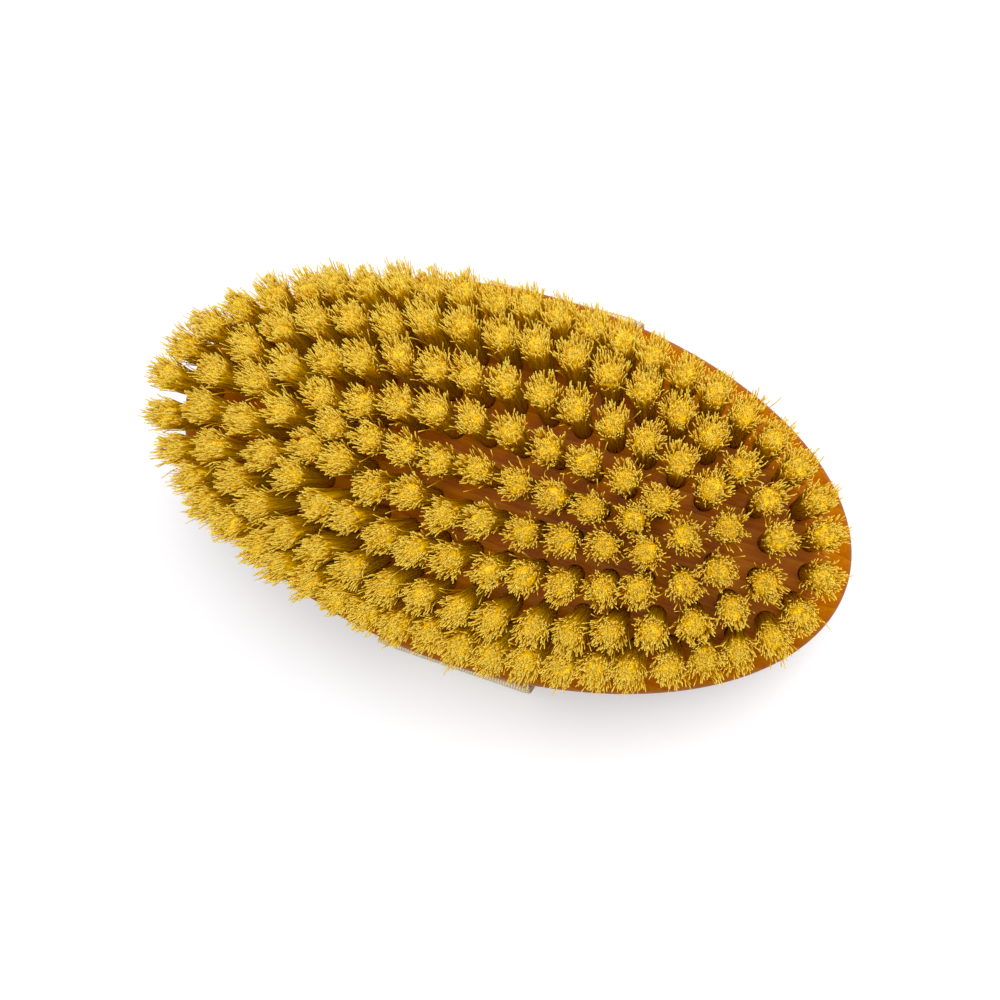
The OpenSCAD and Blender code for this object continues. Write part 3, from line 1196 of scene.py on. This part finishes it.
@dataclass
class HandStrap:
    """Webbing strap under the back, its two ends turned in against the block's sides."""

    width: float = 30.0
    thickness: float = 0.6
    outer_y: float = 37.25
    end_height: float = 24.3
    bend_radius: float = 10.0
    belly: float = 2.0
    belly_radius: float = 6.0
    hem_length: float = 7.0
    rib_pitch: float = 1.1
    rib_height: float = 0.06
    step: float = 0.275
    across_steps: int = 36
    arc_steps: int = 24
    corner: float = 0.25
    edge_share: float = 0.45

    def arc(
        self, centre: tuple[float, float], radius: float, start: float, end: float
    ) -> np.ndarray:
        """Rows of Y and Z along an arc, whose start and end are angles in degrees."""
        angle = np.radians(np.linspace(start, end, self.arc_steps + 1))
        return centre + radius * np.column_stack([np.cos(angle), np.sin(angle)])

    def centre_line(self) -> np.ndarray:
        """Middle of the webbing's thickness in the plane across the block.

        Returns:
            Evenly spaced rows of Y and Z, from one hem's free edge to the other's.
        """
        fold = self.thickness / 2
        side_y = self.outer_y - fold
        inner_y = side_y - self.thickness
        bend = self.bend_radius + fold
        hollow = self.belly_radius + fold
        crest = self.belly_radius - fold
        meet = math.degrees(math.acos(1 - self.belly / 2 / self.belly_radius))
        bend_z = bend + fold
        hollow_z = bend_z + 2 * self.belly_radius * math.sin(math.radians(meet))
        half = np.concatenate(
            [
                [[inner_y, self.end_height - self.hem_length]],
                self.arc((inner_y + fold, self.end_height - self.thickness), fold, 180, 0),
                self.arc((side_y + hollow, hollow_z), hollow, 180, 180 + meet),
                self.arc((side_y + self.belly - crest, bend_z), crest, meet, 0),
                self.arc((side_y + self.belly - bend, bend_z), bend, 0, -90),
            ]
        )
        line = np.concatenate([half, half[::-1] * [-1, 1]])
        walked = np.concatenate([[0.0], np.cumsum(np.linalg.norm(np.diff(line, axis=0), axis=1))])
        count = round(walked[-1] / self.step)
        at = np.linspace(0, walked[-1], count + 1)
        return np.column_stack([np.interp(at, walked, line[:, i]) for i in (0, 1)])

    def build(self) -> None:
        """Builds the webbing and ties it to the frame."""
        line = self.centre_line()
        tangent = np.gradient(line, axis=0)
        tangent /= np.linalg.norm(tangent, axis=1, keepdims=True)
        normal = np.column_stack([tangent[:, 1], -tangent[:, 0]])
        walked = np.arange(len(line)) * self.step
        rib = self.rib_height * np.cos(walked * 2 * math.pi / self.rib_pitch)
        half = self.width / 2
        reach = np.linspace(-half, half, self.across_steps + 1)
        section = [(x, 1.0) for x in reach] + [(x, -1.0) for x in reach[::-1]]
        points = []
        for x, side in section:
            edge = min(1.0, (half - abs(x)) / self.corner + self.edge_share)
            offset = side * (self.thickness / 2 * edge + rib / 2)
            yz = line + normal * offset[:, None]
            points.append(np.column_stack([np.full(len(line), x), yz]))
        points = np.stack(points, axis=1)
        steps, around, _ = points.shape
        faces = stacked_faces(steps, around)
        mesh = new_mesh("hand_strap", points.reshape(-1, 3), faces)
        across = np.tile([x for x, _ in section], (steps, 1))
        flat = np.stack([across, np.tile(walked[:, None], (1, around))], axis=2).reshape(-1, 2)
        corners = np.concatenate([group.ravel() for group in faces])
        cloth = mesh.uv_layers.new(name="Cloth")
        cloth.data.foreach_set("uv", flat[corners].ravel().astype(np.float32))
        mesh.materials.append(CottonWebbing().material())
        strap = new_object("hand_strap", mesh)
        show_piece(strap, ["strap"])


@dataclass
class Fasteners:
    """Nails of the strap and anchors of the tufts, which keep their CAD shapes."""

    nails: tuple[str, ...] = ("strap_nails_left", "strap_nails_right")

    def build(self) -> None:
        """Dresses the nails and the anchors."""
        nickel = NickelledSteel().material()
        for node in self.nails:
            dress_node(node, nickel)
        steel = DrawnSteel().material()
        for ring in Ring:
            dress_node(f"anchors_{ring.value}", steel)


@dataclass(frozen=True)
class Lamp:
    """Square soft box that points at the brush, with its place and side in metres."""

    name: str
    place: tuple[float, float, float]
    size: float
    watts: float

    def build(self) -> None:
        """Hangs the lamp."""
        data = bpy.data.lights.new(self.name, "AREA")
        data.size = self.size
        data.energy = self.watts
        lamp = bpy.data.objects.new(self.name, data)
        lamp.location = self.place
        lamp.rotation_euler = Vector(self.place).to_track_quat("Z", "Y").to_euler()
        bpy.context.collection.objects.link(lamp)


@dataclass
class Studio:
    """Camera at the photograph's place, a white floor and soft lights."""

    camera_place: tuple[float, float, float] = (46.289, -4.098, 250.852)
    camera_turn: tuple[float, float, float] = (3.5745, 10.9631, 17.4777)
    lens: float = 43.05
    sensor: float = 36.0
    nearest: float = 0.01
    floor_half: float = 3.0
    paper: str = "#e6e6e8"
    paper_glow: float = 0.2
    sky_light: float = 0.28
    lamps: tuple[Lamp, ...] = (
        Lamp("key", place=(0.16, 0.25, 0.68), size=0.35, watts=2.4),
        Lamp("fill", place=(0.06, 0.04, 0.8), size=0.5, watts=4.0),
    )

    def camera(self) -> None:
        """Puts the camera where the photograph was taken."""
        data = bpy.data.cameras.new("camera")
        data.lens = self.lens
        data.sensor_width = self.sensor
        data.clip_start = self.nearest
        camera = bpy.data.objects.new("camera", data)
        camera.location = Vector(self.camera_place) * MM
        camera.rotation_euler = Euler([math.radians(angle) for angle in self.camera_turn])
        bpy.context.collection.objects.link(camera)
        bpy.context.scene.camera = camera

    def floor(self) -> None:
        """Lays the white floor, which shows the brush's shadow."""
        half = self.floor_half / MM
        points = np.array([[-half, -half, 0], [half, -half, 0], [half, half, 0], [-half, half, 0]])
        mesh = new_mesh("floor", points, [np.array([[0, 1, 2, 3]])])
        material, tree = new_material("studio_paper")
        path = add_node(tree, "ShaderNodeLightPath").outputs
        seen = combine(tree, "MAXIMUM", path["Is Camera Ray"], path["Is Glossy Ray"])
        seen = combine(tree, "MAXIMUM", seen, path["Is Transmission Ray"])
        glow = combine(tree, "MULTIPLY", seen, self.paper_glow)
        paper = add_node(tree, "ShaderNodeBsdfDiffuse", inputs={"Color": linear(self.paper)})
        light = add_node(tree, "ShaderNodeEmission", inputs={"Strength": glow})
        both = add_node(
            tree, "ShaderNodeAddShader", inputs={0: paper.outputs[0], 1: light.outputs[0]}
        )
        show_surface(tree, both)
        mesh.materials.append(material)
        new_object("floor", mesh)

    def world(self) -> None:
        """Surrounds the scene with soft light, and shows white behind it."""
        world = bpy.data.worlds.new("studio")
        bpy.context.scene.world = world
        world.use_nodes = True
        tree = world.node_tree
        tree.nodes.clear()
        path = add_node(tree, "ShaderNodeLightPath").outputs
        seen = combine(tree, "MAXIMUM", path["Is Camera Ray"], path["Is Transmission Ray"])
        strength = between(tree, seen, self.sky_light, 1.0)
        inputs = {"Color": (1.0, 1.0, 1.0, 1.0), "Strength": strength}
        sky = add_node(tree, "ShaderNodeBackground", inputs=inputs)
        add_node(tree, "ShaderNodeOutputWorld", inputs={"Surface": sky.outputs[0]})

    def build(self) -> None:
        """Builds the whole studio."""
        bpy.context.scene.view_settings.view_transform = "Standard"
        self.camera()
        self.floor()
        self.world()
        for lamp in self.lamps:
            lamp.build()


def main() -> None:
    """Builds the brush and its studio."""
    logging.basicConfig(level=logging.INFO, format="%(name)s: %(message)s")
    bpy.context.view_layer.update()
    plan = DrillPlan()
    Studio().build()
    Block(plan).build()
    BristleField(plan).build()
    HandStrap().build()
    Fasteners().build()


if __name__ == "__main__":
    main()
